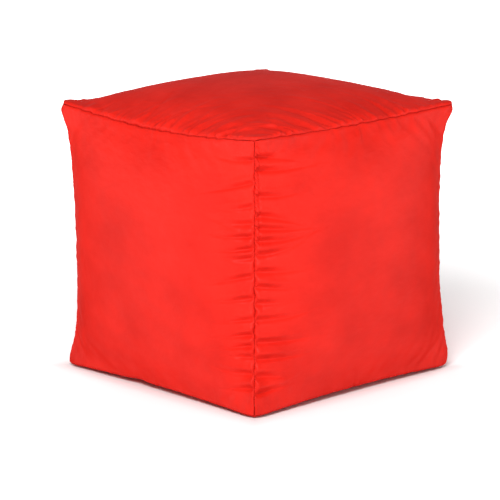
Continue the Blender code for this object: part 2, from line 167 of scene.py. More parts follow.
# A face of the cube: the way it looks, the way it runs across, and the way it runs up
FACES = {
    "front": ((0, -1, 0), (1, 0, 0), (0, 0, 1)),
    "right": ((1, 0, 0), (0, 1, 0), (0, 0, 1)),
    "back": ((0, 1, 0), (-1, 0, 0), (0, 0, 1)),
    "left": ((-1, 0, 0), (0, -1, 0), (0, 0, 1)),
    "top": ((0, 0, 1), (1, 0, 0), (0, 1, 0)),
    "base": ((0, 0, -1), (1, 0, 0), (0, -1, 0)),
}

# The camera
AZIMUTH = math.radians(46.0)
ELEVATION = math.radians(13.15)
DISTANCE = 4.599
AIM_HEIGHT = 0.1909
AIM_RIGHT = -0.0118
LENS = 208.1

# The studio
LIGHT_DISTANCE = 3.2
LIGHTS = {  # azimuth, elevation, size and power
    "key": (36, 37, 1.0, 89),
    "fill": (75, 15, 1.3, 9),
    "back_left": (190, 22, 1.3, 24),
    "back_right": (260, 22, 1.3, 24),
}
ROOM_LIGHT = 0.20
FLOOR_REACH = 30.0
WALL_HEIGHT = 4.0
FLOOR_WHITE = 0.93
# The floor's glow by distance from the middle, low near the object: painted shade around it and the soft edge
# of its contact shadow.
FLOOR_GLOWS = ((HALF - 0.01, HALF + 0.03, 0.26), (HALF + 0.1, 2.0, 0.8))  # from, to and how strong


def smoothed(share):
    share = np.clip(share, 0.0, 1.0)
    return share * share * (3 - 2 * share)


def shares(count, evenness):
    """Lines from -1 to 1, closer together at the ends the less even they are."""
    even = np.linspace(-1, 1, count + 1)
    return evenness * even + (1 - evenness) * np.sin(math.pi / 2 * even)


def dome(a, b, power):
    return (1 - np.abs(a) ** power) * (1 - np.abs(b) ** power)


# ---------------- the stuffed cube's form


def points_of(face, across, up):
    """Points of a cube from -1 to 1, from two grids of shares on one of its faces."""
    way, right, rise = (np.array(v, float) for v in FACES[face])
    return way + across[..., None] * right + up[..., None] * rise


def top_sag(p, axis):
    """The dip of the top seam on the side of that axis that the points are nearer to."""
    sag = np.where(p[..., axis] > 0, TOP_SAGS[axis, 1], TOP_SAGS[axis, -1])
    return sag * (1 - p[..., 1 - axis] ** 2)


def base_lift(p, axis):
    """The height of the base seam on the side of that axis that the points are nearer to."""
    lift = CORNER_LIFT + EDGE_LIFT * (1 - p[..., 1 - axis] ** 2)
    if axis == 1:
        snag = np.exp(-(((p[..., 0] * HALF - SNAG_PLACE) / SNAG_REACH) ** 2))
        lift = lift + SNAG_LIFT * snag * (p[..., 1] < 0)
    return lift


def upright_draw(p):
    """How far the upright seam at the nearest corner is drawn in, at the height of the points."""
    draw = np.zeros(p.shape[:-1])
    for corner, fade in TOP_FADES.items():
        here = ((p[..., 0] >= 0) == (corner[0] > 0)) & ((p[..., 1] >= 0) == (corner[1] > 0))
        under_top = 1 - np.exp(-(1 - p[..., 2]) / 2 / fade)
        over_base = (1 - np.exp(-(1 + p[..., 2]) / 2 / BASE_FADES[corner])) ** BASE_FADE_POWER
        draw = np.where(here, UPRIGHT_DRAW * under_top * over_base, draw)
    return draw


def heights(p, axis):
    """The base seam's height and the top seam's, over a side that faces along the axis."""
    return base_lift(p, axis), CORNER_HEIGHT - top_sag(p, axis)


def side_form(p, axis):
    """Points of the side that faces along that axis, 0 for X or 1 for Y."""
    along, rise = p[..., 1 - axis], p[..., 2]
    drawn = np.abs(along) ** DRAW_POWER * upright_draw(p)
    out = HALF - drawn - np.abs(rise) ** DRAW_POWER * LEVEL_DRAW * (1 - along**2)
    out = out + SIDE_BULGE * dome(along, rise, BULGE_POWER)
    low, high = heights(p, axis)
    form = np.empty_like(p)
    form[..., axis] = np.sign(p[..., axis]) * out
    form[..., 1 - axis] = along * HALF - np.sign(along) * drawn
    form[..., 2] = low + (high - low) * (rise + 1) / 2
    return form


def level_form(p, upper):
    """Points of the top or the base."""
    form = np.empty_like(p)
    for axis in (0, 1):
        share, other = p[..., axis], p[..., 1 - axis]
        draw = np.abs(share) ** DRAW_POWER * LEVEL_DRAW * (1 - other**2)
        form[..., axis] = share * HALF - np.sign(share) * draw
    if upper:
        sags = sum(np.abs(p[..., axis]) ** DRAW_POWER * top_sag(p, axis) for axis in (0, 1))
        form[..., 2] = CORNER_HEIGHT - sags + TOP_DOME * dome(p[..., 0], p[..., 1], DOME_POWER)
        from_x, from_y = 1 - np.abs(p[..., 0]), 1 - np.abs(p[..., 1])
        form[..., 2] += CORNER_PUFF * np.sqrt(from_x * from_y) * np.exp(-(from_x + from_y) / PUFF_REACH)
        return form
    near = [smoothed((np.abs(p[..., axis]) - FLAT_SHARE) / (1 - FLAT_SHARE)) for axis in (0, 1)]
    lifts = [base_lift(p, axis) for axis in (0, 1)]
    form[..., 2] = near[0] * lifts[0] + near[1] * lifts[1] - CORNER_LIFT * near[0] * near[1]
    return form


def eared(form):
    """Pushes what is near a top corner outwards and up, and rounds off the tips of all corners."""
    corner = np.sign(form) * HALF
    corner[..., 2] = CORNER_HEIGHT
    away = np.sqrt(np.sum((form - corner) ** 2, axis=-1))
    near = np.exp(-((away / EAR_REACH) ** 2))
    near *= np.where((form[..., 0] < 0) & (form[..., 1] > 0), BACK_EAR, 1.0)
    push = np.sign(form) * EAR_OUT
    push[..., 2] = EAR_UP
    blunt = np.exp(-((away / EAR_ROUND) ** 2))[..., None] * np.sign(form) * (1, 1, EAR_BLUNT_UP)
    corner[..., 2] = 0
    away = np.sqrt(np.sum((form - corner) ** 2, axis=-1))
    foot = np.exp(-((away / FOOT_ROUND) ** 2))[..., None] * np.sign(form) * (1, 1, 0)
    return form + near[..., None] * push - EAR_BLUNT * blunt - FOOT_BLUNT * foot


def form_of(face, across, up):
    """The cover's surface, before its seams and folds, from two grids of shares on a face."""
    p = points_of(face, across, up)
    if face in ("top", "base"):
        return eared(level_form(p, face == "top"))
    return eared(side_form(p, 0 if face in ("left", "right") else 1))


def grid_quads(rows, columns):
    """The four-sided faces between the points of a grid."""
    index = np.arange(rows * columns).reshape(rows, columns)
    corners = [index[:-1, :-1], index[:-1, 1:], index[1:, 1:], index[1:, :-1]]
    return np.stack(corners, -1).reshape(-1, 4)


def normals_of(form):
    """Outward normals of a grid of points."""
    across = np.gradient(form, axis=1)
    up = np.gradient(form, axis=0)
    normals = np.cross(across, up)
    return normals / np.linalg.norm(normals, axis=-1, keepdims=True)


# ---------------- wrinkles from a cloth simulation

CLOTH_LINES = (84, 0.75)
CLOTH_FRAMES = 8
CLOTH_UNEVENNESS = 0.0006
HOLD = 0.5  # how firmly the cloth is held to the form in the middle of a face,
HOLD_LESS = 0.4  # how much less beside its seams,
HOLD_REACH = 0.05
SEAM_HOLD = 0.6  # and how firmly on the seams themselves
CLOTH_SURPLUS = 0.05  # the panels are cut this much larger than the form they cover
SEAM_SHRINK = 0.08  # and gathered along their seams
SEAM_REACH = 0.012
ON_SEAM = 1e-6  # points nearer to a seam than this are on it
CRUMPLES = 0.0045  # creases finer than this are left out,
ROLLING = 0.025  # and wrinkles wider than this
WRINKLE_REACH = 0.055  # wrinkles die away this far from a seam
CALM = 0.32  # share of them that is left in the middle of a face


def simulated():
    """For each face, how far the simulated cloth stands out of the cover's form, on a grid of shares."""
    lines = shares(*CLOTH_LINES)
    across, up = np.meshgrid(lines, lines)
    size = across.size
    flat = np.concatenate([points_of(face, across, up).reshape(-1, 3) for face in FACES])
    form = np.concatenate([form_of(face, across, up).reshape(-1, 3) for face in FACES])
    _, first, merged = np.unique(np.round(flat, 6), axis=0, return_index=True, return_inverse=True)
    merged = merged.reshape(-1)
    square = grid_quads(*across.shape)
    quads = np.concatenate([merged[square + k * size] for k in range(len(FACES))])
    settled = run_cloth(form[first], flat[first], quads)
    moved = (settled[merged] - form).reshape(len(FACES), *across.shape, 3)
    found = {}
    for k, face in enumerate(FACES):
        out = np.sum(moved[k] * normals_of(form_of(face, across, up)), axis=-1)
        found[face] = blurred(out, CRUMPLES) - blurred(out, ROLLING)
    return found


def run_cloth(form, flat, quads):
    """Settles surplus cloth that is held softly to the form. Returns its points."""
    ends = np.sort(np.abs(flat), axis=1)
    from_seam = (1 - ends[:, 1]) * HALF
    rng = np.random.default_rng(3)
    start = form + rng.normal(0, CLOTH_UNEVENNESS, form.shape) * (from_seam > ON_SEAM)[:, None]
    cloth = added("cloth", mesh_of("cloth", start.tolist(), quads.tolist()))
    cloth.shape_key_add(name="Basis")
    cut = cloth.shape_key_add(name="cut")
    cut.data.foreach_set("co", (form * (1 + CLOTH_SURPLUS)).ravel())
    cut.value = 0.0
    held = HOLD - HOLD_LESS * np.exp(-((from_seam / HOLD_REACH) ** 2))
    held[from_seam < ON_SEAM] = SEAM_HOLD
    held[(flat[:, 2] < -0.999) & (np.abs(flat[:, :2]).max(1) < FLAT_SHARE)] = 1.0
    gathered = np.exp(-((from_seam / SEAM_REACH) ** 2))
    for name, weights in (("held", held), ("gathered", gathered)):
        group = cloth.vertex_groups.new(name=name)
        for level in np.unique(np.round(weights, 2)):
            inside = np.flatnonzero(np.round(weights, 2) == level)
            group.add(inside.tolist(), float(level), "REPLACE")
    modifier = cloth.modifiers.new("cloth", "CLOTH")
    settings = modifier.settings
    settings.quality = 5
    settings.mass = 0.15
    settings.tension_stiffness = settings.compression_stiffness = 40
    settings.shear_stiffness = 10
    settings.bending_stiffness = 0.02
    settings.rest_shape_key = cut
    settings.vertex_group_shrink = "gathered"
    settings.shrink_max = SEAM_SHRINK
    settings.vertex_group_mass = "held"
    settings.effector_weights.gravity = 0
    modifier.collision_settings.use_collision = False
    modifier.point_cache.frame_end = CLOTH_FRAMES
    for frame in range(1, CLOTH_FRAMES + 1):
        bpy.context.scene.frame_set(frame)
    evaluated = cloth.evaluated_get(bpy.context.evaluated_depsgraph_get())
    settled = np.empty(form.size)
    evaluated.data.vertices.foreach_get("co", settled)
    bpy.context.scene.frame_set(1)
    bpy.data.objects.remove(cloth, do_unlink=True)
    return settled.reshape(-1, 3)


def blurred(grid, width):
    """A grid of values, averaged over a width in metres."""
    spacing = 2 * HALF / (grid.shape[0] - 1)
    reach = int(3 * width / spacing)
    offsets = np.arange(-reach, reach + 1)
    weights = np.exp(-((offsets * spacing / width) ** 2) / 2)
    weights /= weights.sum()
    for axis in (0, 1):
        padding = [(reach, reach) if k == axis else (0, 0) for k in (0, 1)]
        padded = np.pad(grid, padding, mode="reflect")
        grid = np.apply_along_axis(lambda line: np.convolve(line, weights, mode="valid"), axis, padded)
    return grid


def sampled(grid, lines, across, up):
    """A grid of values at those lines, read smoothly at other shares."""
    column = np.interp(across, lines, np.arange(len(lines)))
    row = np.interp(up, lines, np.arange(len(lines)))
    return cubic(grid, row, column)


def cubic(grid, row, column):
    """Catmull-Rom interpolation of a grid at fractional rows and columns."""
    last = grid.shape[0] - 1
    whole_row, whole_column = np.floor(row).astype(int), np.floor(column).astype(int)
    row_weights = catmull_rom(row - whole_row)
    column_weights = catmull_rom(column - whole_column)
    total = 0.0
    for j in range(4):
        rows = np.clip(whole_row + j - 1, 0, last)
        for i in range(4):
            columns = np.clip(whole_column + i - 1, 0, last)
            total = total + row_weights[j] * column_weights[i] * grid[rows, columns]
    return total


def catmull_rom(t):
    return (
        -0.5 * t + t**2 - 0.5 * t**3,
        1 - 2.5 * t**2 + 1.5 * t**3,
        0.5 * t + 2 * t**2 - 1.5 * t**3,
        -0.5 * t**2 + 0.5 * t**3,
    )


# ---------------- folds at the seams

TUCK_SLOPE = 1.6  # how gently a tuck goes in on one side, in its widths,
TUCK_STEP = 0.6  # and how sharply it comes out on the other
DEEPEST = 0.0085  # no tuck reaches the liner
TUCK_POWER = 1.25  # how sharp a tuck is, and how rounded a ridge
RIDGE_POWER = 1.7
FOLD_SPAN = 0.09  # a fold ends within this of its place along the edge,
FOLD_LENGTHS = 2.5  # and within so many of its lengths
NARROWEST = 0.3
FOLD_START = 0.0022
RIDGE_ODDS = 0.6  # how many gathers are ridges, and how high the tucks between them are
TUCK_SHARE = 0.9
SEAM_FADE = 0.004  # wrinkles start this far from a seam


class Folds:
    """Ridges and tucks that run into a face from one of its edges.

    Along is their place on the edge, from its middle. Each one leans and bends along the edge as it
    goes in, is so wide and so long, and stands so far out of the face, or into it where negative.
    Spread is how much wider it gets over its length, and start how soon it rises from the seam."""

    def __init__(self, seed):
        self.rng = np.random.default_rng(seed)
        self.folds = []

    def add(self, along, length, width, height, lean=0.0, bend=0.0, spread=1.0, start=FOLD_START):
        self.folds.append((along, length, width, height, lean, bend, spread, start))

    def gathers(self, start, end, pitch, length, width, height, lean=0.0):
        """Ridges and tucks from start to end along the edge, each a little different."""
        along = start
        while along < end:
            vary = self.rng.uniform(0.55, 1.45, 4)
            side = 1 if self.rng.random() < RIDGE_ODDS else -TUCK_SHARE
            tilt = lean + self.rng.normal(0, 0.25)
            bend = self.rng.normal(0, 3)
            self.add(along, length * vary[0], width * vary[1], side * height * vary[2], tilt, bend)
            along += pitch * vary[3]

    def height(self, along, depth):
        """How far out a face stands, from grids of places along the edge and of distances from it."""
        total = np.zeros_like(along)
        for place, length, width, height, lean, bend, spread, start in self.folds:
            near = (np.abs(along - place) < FOLD_SPAN) & (depth < FOLD_LENGTHS * length)
            x, d = along[near], depth[near]
            wide = width * np.maximum(1 + spread * d / length, NARROWEST)
            off = (x - place - lean * d - bend * d**2) / wide
            fade = np.exp(-((d / length) ** 2)) * (1 - np.exp(-((d / start) ** 2)))
            if height < 0:
                off = np.where(off > 0, off / TUCK_SLOPE, off / TUCK_STEP)
            power = TUCK_POWER if height < 0 else RIDGE_POWER
            total[near] += height * fade * np.exp(-np.abs(off) ** power)
        return total


def edge_views(face, across, up):
    """For each edge of a face: its name, and grids of the places along it and of distances from it."""
    return {
        "upper": (across * HALF, (1 - up) * HALF),
        "lower": (across * HALF, (1 + up) * HALF),
        "start": (up * HALF, (1 + across) * HALF),
        "end": (up * HALF, (1 - across) * HALF),
    }


PUCKER_START = 0.004
PUCKER_SPREAD = -0.35  # puckers and the ridges beside them get narrower as they go in
RIDGE_SPREAD = -0.2
RIDGE_OFFSET = 1.9  # how far the ridge is from its pucker, and how wide, in the pucker's widths
RIDGE_WIDTH = 1.2
RIDGE_LENGTH = 0.75
RIDGE_HEIGHT = 0.55


def puckers(folds, places, length, height, lean=0.0, width=0.0042):
    """Tucks that cross a seam at those shares of its length, with soft ridges between them."""
    for share in places:
        along = (2 * share - 1) * HALF
        vary = folds.rng.uniform(0.7, 1.3, 3)
        bend = folds.rng.normal(0, 1.5)
        shape = (lean, bend, PUCKER_SPREAD, PUCKER_START)
        folds.add(along, length * vary[0], width * vary[1], -height, *shape)
        along += RIDGE_OFFSET * width
        shape = (lean, bend, RIDGE_SPREAD, PUCKER_START)
        folds.add(along, RIDGE_LENGTH * length * vary[2], RIDGE_WIDTH * width, RIDGE_HEIGHT * height, *shape)


# Shares of the height at which the upright front seam puckers, on its left and on its right
LEFT_PUCKERS = (
    *(0.10, 0.15, 0.21, 0.25, 0.29, 0.345, 0.42, 0.50),
    *(0.565, 0.60, 0.645, 0.69, 0.75, 0.835, 0.92),
)
RIGHT_PUCKERS = (
    *(0.08, 0.14, 0.20, 0.26, 0.34, 0.40, 0.46, 0.515),
    *(0.575, 0.625, 0.67, 0.715, 0.785, 0.88, 0.93),
)

# Gathers by face: edge, from and to along it, pitch, length, width, height and any lean
EVEN_GATHERS = (
    ("upper", -0.20, 0.20, 0.013, 0.012, 0.0030, 0.0004),
    ("lower", -0.20, 0.20, 0.016, 0.012, 0.0036, 0.0004),
)
PLAIN_GATHERS = (
    *EVEN_GATHERS,
    ("start", -0.19, 0.20, 0.0080, 0.010, 0.0022, 0.0007),
    ("end", -0.19, 0.20, 0.0080, 0.010, 0.0022, 0.0007),
)
GATHERS = {
    "top": (
        ("lower", -0.19, -0.03, 0.0085, 0.018, 0.0026, 0.0017, 0.2),
        ("lower", -0.06, 0.16, 0.0120, 0.060, 0.0035, 0.0024, 0.42),
        ("lower", 0.0, 0.19, 0.0090, 0.030, 0.0024, 0.0014, 0.35),
        ("end", -0.17, 0.03, 0.0120, 0.055, 0.0035, 0.0022, -0.5),
        ("end", 0.0, 0.13, 0.0220, 0.050, 0.0034, 0.0026, -0.2),
        ("end", -0.19, 0.19, 0.0090, 0.014, 0.0024, 0.0012),
        ("upper", -0.20, 0.20, 0.011, 0.030, 0.0030, 0.0011),
        ("start", -0.20, 0.20, 0.011, 0.030, 0.0030, 0.0011),
    ),
    "front": (
        *EVEN_GATHERS,
        ("end", -0.19, 0.20, 0.0075, 0.008, 0.0020, 0.0006),
        ("start", -0.19, 0.19, 0.016, 0.018, 0.0034, 0.0007),
    ),
    "right": (
        *EVEN_GATHERS,
        ("start", -0.19, 0.20, 0.0070, 0.008, 0.0020, 0.0006),
        ("upper", -0.07, 0.13, 0.0110, 0.022, 0.0030, 0.0010, 0.3),
        ("end", -0.19, 0.19, 0.018, 0.022, 0.0040, 0.0009),
    ),
    "left": PLAIN_GATHERS,
    "back": PLAIN_GATHERS,
    "base": (),
}


def folds_of(face):
    """The folds at each edge of a face."""
    seed = sorted(FACES).index(face) * 10
    edges = {edge: Folds(seed + k + 1) for k, edge in enumerate(("lower", "end", "upper", "start"))}
    if face == "front":
        puckers(edges["end"], LEFT_PUCKERS, 0.044, 0.0082, lean=-0.12, width=0.0050)
    elif face == "right":
        puckers(edges["start"], RIGHT_PUCKERS, 0.053, 0.0100, lean=-0.05, width=0.0056)
    elif face in ("left", "back"):
        for edge in ("start", "end"):
            puckers(edges[edge], edges[edge].rng.uniform(0.08, 0.95, 15), 0.045, 0.0026)
    for edge, *gather in GATHERS[face]:
        edges[edge].gathers(*gather)
    return edges


def lips(face, across, up):
    """The puff of the cloth beside its seams."""
    height = TOP_LIP if face == "top" else SIDE_LIP
    total = np.zeros_like(across)
    for _, depth in edge_views(face, across, up).values():
        total += height * depth / LIP_REACH * np.exp(1 - depth / LIP_REACH)
    return total


def twisted_strip(across, up):
    """The narrow rolled strip along the upper half of the upright front seam, on the right panel."""
    depth, along = (1 + across) * HALF, up * HALF
    upper_half = smoothed((up - STRIP_START) / 0.12) * smoothed((1 - up) / 0.05)
    crease = -STRIP_CREASE * np.exp(-(((depth - STRIP_WIDTH) / CREASE_REACH) ** 2))
    twist = STRIP_TWIST * np.sin(2 * math.pi * (along + STRIP_SLANT * depth) / STRIP_PITCH)
    inside = np.exp(-(((depth - STRIP_WIDTH / 2) / (STRIP_WIDTH / 2.4)) ** 4))
    return upper_half * (crease + twist * inside)


def seam_bends(p):
    """How the seams wander and sink, for points of a cube from -1 to 1. All faces agree on it."""
    shift = np.zeros_like(p)
    for i, j, k in ((0, 1, 2), (0, 2, 1), (1, 2, 0)):
        away = HALF * np.hypot(1 - np.abs(p[..., i]), 1 - np.abs(p[..., j]))
        side_i, side_j = np.sign(p[..., i]), np.sign(p[..., j])
        along = p[..., k]
        sink = GROOVE_DEPTH * np.exp(-away / GROOVE_REACH)
        if (i, j) == (1, 2):
            front_top = (p[..., 1] < 0) * (p[..., 2] > 0)
            tucked = np.exp(-(((along * HALF - TUCK_PLACE) / TUCK_REACH) ** 2)) * front_top
            sink = sink + TUCK_DEPTH * tucked * np.exp(-away / TUCK_HALF_WIDTH)
        seed = 3 * (k + 1) + side_i + 2 * side_j
        near = np.exp(-((away / SWAY_REACH) ** 2)) * (1 - along**6)
        sway = sum(far * wave(along * HALF, seed + more, length) for far, more, length in SWAYS)
        shift[..., i] += side_i * (-sink + sway * near) / math.sqrt(2)
        shift[..., j] += side_j * (-sink - sway * near) / math.sqrt(2)
    return shift


def wave(place, seed, length):
    """A smooth irregular wave between -1 and 1."""
    turn = 2 * math.pi * place / length
    first = np.sin(turn + 1.7 * seed + 1.3 * np.sin(0.37 * turn + seed))
    return 0.6 * first + 0.4 * np.sin(1.61 * turn + 2.9 * seed)


# ---------------- panels


def zip_hold(form, height=ZIP_HEIGHT, flat=ZIP_FLAT_HALF_HEIGHT, fade=ZIP_FADE):
    """1 where a zip at that height holds the back flat, 0 away from it."""
    past_end = np.abs(form[..., 0]) - ZIP_TAPE_REACH - TAPE_MARGIN
    past_end /= HALF - ZIP_TAPE_REACH - CORNER_MARGIN
    past_tape = (np.abs(form[..., 2] - height) - flat) / fade
    return (1 - smoothed(past_end)) * (1 - smoothed(past_tape))


def surface(face, across, up, wrinkles):
    """The finished cover on grids of shares between -1 and 1."""
    form = form_of(face, across, up)
    hold = np.zeros_like(across)
    if face == "back":
        hold = zip_hold(form)
        form[..., 1] += hold * (ZIP_FACE - form[..., 1])
    out = np.zeros_like(across)
    for edge, folds in folds_of(face).items():
        along, depth = edge_views(face, across, up)[edge]
        out += folds.height(along, depth)
    out = np.where(out < 0, DEEPEST * np.tanh(out / DEEPEST), out)
    out += lips(face, across, up)
    if face == "right":
        out += twisted_strip(across, up)
    from_seam = HALF * (1 - np.maximum(np.abs(across), np.abs(up)))
    if wrinkles:
        away = 1 - np.exp(-((from_seam / SEAM_FADE) ** 2))
        fade = CALM + (1 - CALM) * np.exp(-((from_seam / WRINKLE_REACH) ** 2))
        out += away * fade * sampled(wrinkles[face], shares(*CLOTH_LINES), across, up)
    if face == "base":
        out *= smoothed((np.maximum(np.abs(across), np.abs(up)) - FLAT_SHARE) / (1 - FLAT_SHARE))
    form += ((1 - hold) * out)[..., None] * normals_of(form)
    form += seam_bends(points_of(face, across, up)) * (1 - hold)[..., None]
    return form


def turned_in(points, face, sides):
    """Adds rows and columns to a panel's grid for the cloth that is turned in along its seams."""
    way = np.array(FACES[face][0], float)
    right, rise = (np.array(v, float) for v in FACES[face][1:])
    grid = points
    edges = ((1, right, "end"), (1, -right, "start"), (0, rise, "upper"), (0, -rise, "lower"))
    for axis, outward, wanted in edges:
        if wanted not in sides:
            continue
        at_end = wanted in ("end", "upper")
        edge = np.take(grid, [-1 if at_end else 0], axis=axis)
        inward = -(way + outward) / math.sqrt(2)
        rows = [edge + inward * depth for depth in TURNED_IN]
        rows = rows if at_end else rows[::-1]
        grid = np.concatenate([grid, *rows] if at_end else [*rows, grid], axis=axis)
    return grid


def parted(points, face):
    """Draws the edges of a panel back from the seam line by a hair."""
    right, rise = (np.array(v, float) for v in FACES[face][1:])
    points[:, 0] += right * SEAM_HALF_GAP
    points[:, -1] -= right * SEAM_HALF_GAP
    points[0] += rise * SEAM_HALF_GAP
    points[-1] -= rise * SEAM_HALF_GAP
    return points


def added(name, data):
    """A new object in the scene."""
    made = bpy.data.objects.new(name, data)
    bpy.context.scene.collection.objects.link(made)
    return made


def mesh_of(name, points, faces):
    data = bpy.data.meshes.new(name)
    data.from_pydata(points, [], faces)
    data.shade_smooth()
    return data


def grid_mesh(name, grid, cloth_size):
    """A mesh of a grid of points, with the cloth's own size in metres as its UV map."""
    rows, columns = grid.shape[:2]
    quads = grid_quads(rows, columns)
    data = mesh_of(name, grid.reshape(-1, 3).tolist(), quads.tolist())
    u, v = np.meshgrid(np.linspace(0, cloth_size[0], columns), np.linspace(0, cloth_size[1], rows))
    uv = np.stack([u, v], -1).reshape(-1, 2)
    layer = data.uv_layers.new(name="cloth")
    layer.data.foreach_set("uv", uv[quads.reshape(-1)].ravel())
    data.update()
    return data


def place(name, data, look, slot, replaced=(), body="bag"):
    """Adds a piece that rides on a body, with its look, for the CAD nodes it replaces. Its slot is not used.
    """
    made = added(name, data)
    data.materials.append(look)
    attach(made, body)
    if replaced:
        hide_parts(*replaced)
    return made


def walled(piece, thickness):
    """Gives a sheet its thickness, inwards."""
    wall = piece.modifiers.new("wall", "SOLIDIFY")
    wall.thickness = thickness
    wall.offset = -1.0
    return piece


def hem_height(across):
    """Half of the gap between the back's two hems: open along the chain, closed past it."""
    past_chain = (np.abs(across) - ZIP_HALF_LENGTH - HEM_CLOSED_PAST) / HEM_CLOSING
    return ZIP_HALF_OPENING + smoothed(past_chain) * (SEAM_HALF_GAP - ZIP_HALF_OPENING)


def back_shares(upper):
    """Grids of shares for one of the back's two panels, from its hem to its seam."""
    columns = shares(*SIDE_COLUMNS)
    count = int(SIDE_ROWS[0] * (UPPER_ROWS if upper else 1 - UPPER_ROWS))
    rows = np.linspace(0, 1, count)
    across, row = np.meshgrid(columns, rows)
    p = points_of("back", across, np.zeros_like(across))
    low, high = heights(p, 1)
    hem = ZIP_HEIGHT + hem_height(across * HALF) * (1 if upper else -1)
    hem_share = 2 * (hem - low) / (high - low) - 1
    up = hem_share + (1 - hem_share) * row if upper else -1 + (hem_share + 1) * row
    return across, up


def hemmed(grid, upper):
    """Turns the hem of a back panel under itself, behind its edge."""
    sign = 1 if upper else -1
    edge = grid[:1] if upper else grid[-1:]
    rows = [edge + np.array((0, -depth, sign * reach)) for depth, reach in HEM_TURNS]
    return np.concatenate([*rows[::-1], grid] if upper else [grid, *rows], axis=0)


def add_panel(name, grid, cloth_height, look):
    data = grid_mesh(name + "_cloth", grid, (2 * HALF, cloth_height))
    piece = place(name + "_cloth", data, look, "cover_fabric", [name + "_panel"])
    walled(piece, CLOTH_THICKNESS)


def build_panels(look, wrinkles):
    """The seven panels of the cover. Returns the grid of each, up to its seam lines."""
    level = np.meshgrid(shares(*LEVEL_LINES), shares(*LEVEL_LINES))
    upright = np.meshgrid(shares(*SIDE_COLUMNS), shares(*SIDE_ROWS))
    grids = {}
    for face in ("top", "front", "right", "left", "base"):
        grids[face] = surface(face, *(level if face in ("top", "base") else upright), wrinkles)
        edged = turned_in(parted(grids[face].copy(), face), face, ("start", "end", "upper", "lower"))
        add_panel(face, edged, 2 * HALF, look)
    for name, upper in (("back_upper", True), ("back_lower", False)):
        grids[name] = surface("back", *back_shares(upper), wrinkles)
        edged = parted(grids[name].copy(), "back")
        edged = turned_in(edged, "back", ("start", "end", "upper" if upper else "lower"))
        add_panel(name, hemmed(edged, upper), HALF, look)
    return grids


# ---------------- stitching


def tube_quads(first, rings, sides):
    """The faces of a closed tube whose points start at that index, ring after ring."""
    quads = []
    for ring in range(rings - 1):
        for k in range(sides):
            a, b = first + ring * sides + k, first + ring * sides + (k + 1) % sides
            quads.append((a, b, b + sides, a + sides))
    quads.append(tuple(first + k for k in reversed(range(sides))))
    quads.append(tuple(first + (rings - 1) * sides + k for k in range(sides)))
    return quads


def stitches(line, lift):
    """A mesh of short stitches along a line of points, each dipping into the cloth at its ends."""
    steps = np.linalg.norm(np.diff(line, axis=0), axis=1)
    distance = np.concatenate([[0], np.cumsum(steps)])
    starts = np.arange(STITCH_PITCH / 2, distance[-1] - STITCH_LENGTH, STITCH_PITCH)
    turns = np.linspace(0, 2 * math.pi, THREAD_SIDES, endpoint=False)
    parts, rises = np.array(STITCH_RISES).T
    points, quads = [], []
    for start in starts:
        at = start + parts * STITCH_LENGTH
        middle = np.stack([np.interp(at, distance, line[:, k]) for k in range(3)], -1)
        middle += (rises * THREAD_RADIUS)[:, None] * lift
        way = middle[-1] - middle[0]
        way /= np.linalg.norm(way)
        flank = np.cross(way, lift)
        flank /= np.linalg.norm(flank)
        rise = np.cross(flank, way)
        first = len(points)
        for centre in middle:
            ring = [math.cos(turn) * flank + math.sin(turn) * rise for turn in turns]
            points.extend(centre + THREAD_RADIUS * way_out for way_out in ring)
        quads.extend(tube_quads(first, len(middle), THREAD_SIDES))
    return mesh_of("stitches", [tuple(p) for p in points], quads)


def closed_line(grid):
    """The rim of a panel's grid as one closed line."""
    return np.concatenate([grid[0], grid[1:, -1], grid[-1, -2::-1], grid[-2::-1, 0]])


def build_stitching(look, grids):
    def sew(name, line, out, replaced=()):
        place(name, stitches(line, out), look, "thread", replaced)

    up, back = np.array((0.0, 0.0, 1.0)), np.array((0.0, 1.0, 0.0))
    sew("top_seam_stitches", closed_line(grids["top"]), up, ["top_seam_stitching"])
    sew("base_seam_stitches", closed_line(grids["base"]), -up, ["base_seam_stitching"])
    corners = {
        "front_left": ("front", 0, (-1, -1, 0)),
        "front_right": ("front", -1, (1, -1, 0)),
        "back_right": ("right", -1, (1, 1, 0)),
        "back_left": ("left", 0, (-1, 1, 0)),
    }
    for name, (face, column, way) in corners.items():
        line = grids[face][:, column]
        sew(name + "_corner_stitches", line, np.array(way) / math.sqrt(2), [name + "_corner_stitching"])
    hem = grids["back_upper"][0]
    closed = ZIP_HALF_LENGTH + HEM_STITCHES_PAST
    for name, part in (("left", hem[hem[:, 0] < -closed]), ("right", hem[hem[:, 0] > closed])):
        sew("back_seam_stitches_" + name, part, back, ["back_seam_stitching_" + name])
    for name, line in (("upper", grids["back_upper"][2]), ("lower", grids["back_lower"][-3])):
        beside_zip = line[np.abs(line[:, 0]) < ZIP_TAPE_REACH]
        sew("zip_topstitches_" + name, beside_zip + back * TOPSTITCH_RISE, back)


# ---------------- zips


def tape_mesh(name, low, high):
    """A zip tape with woven ribs that run along it, over its whole width."""
    columns = np.linspace(low.x, high.x, 160)
    rows = np.linspace(low.z, high.z, 14)
    x, z = np.meshgrid(columns, rows)
    y = high.y - TAPE_RIB * (1 + np.cos(2 * math.pi * (z - low.z) / TAPE_RIB_PITCH))
    grid = np.stack([x, y, z], -1)[:, ::-1]
    return grid_mesh(name, grid, (high.x - low.x, high.z - low.z))


def coil_mesh(name, low, high):
    """A zip coil: a flattened helix of monofilament along X."""
    middle = (low + high) / 2
    radius_y = (high.y - low.y) / 2 - COIL_WIRE
    radius_z = (high.z - low.z) / 2 - COIL_WIRE
    length = high.x - low.x - 2 * COIL_WIRE
    count = int(length * COIL_TURNS)
    steps = np.linspace(0, 1, count * COIL_STEPS + 1)
    turn = 2 * math.pi * count * steps
    x = low.x + COIL_WIRE + length * steps
    line = np.stack([x, middle.y + radius_y * np.cos(turn), middle.z + radius_z * np.sin(turn)], -1)
    return tube_mesh(name, line, COIL_WIRE, THREAD_SIDES)


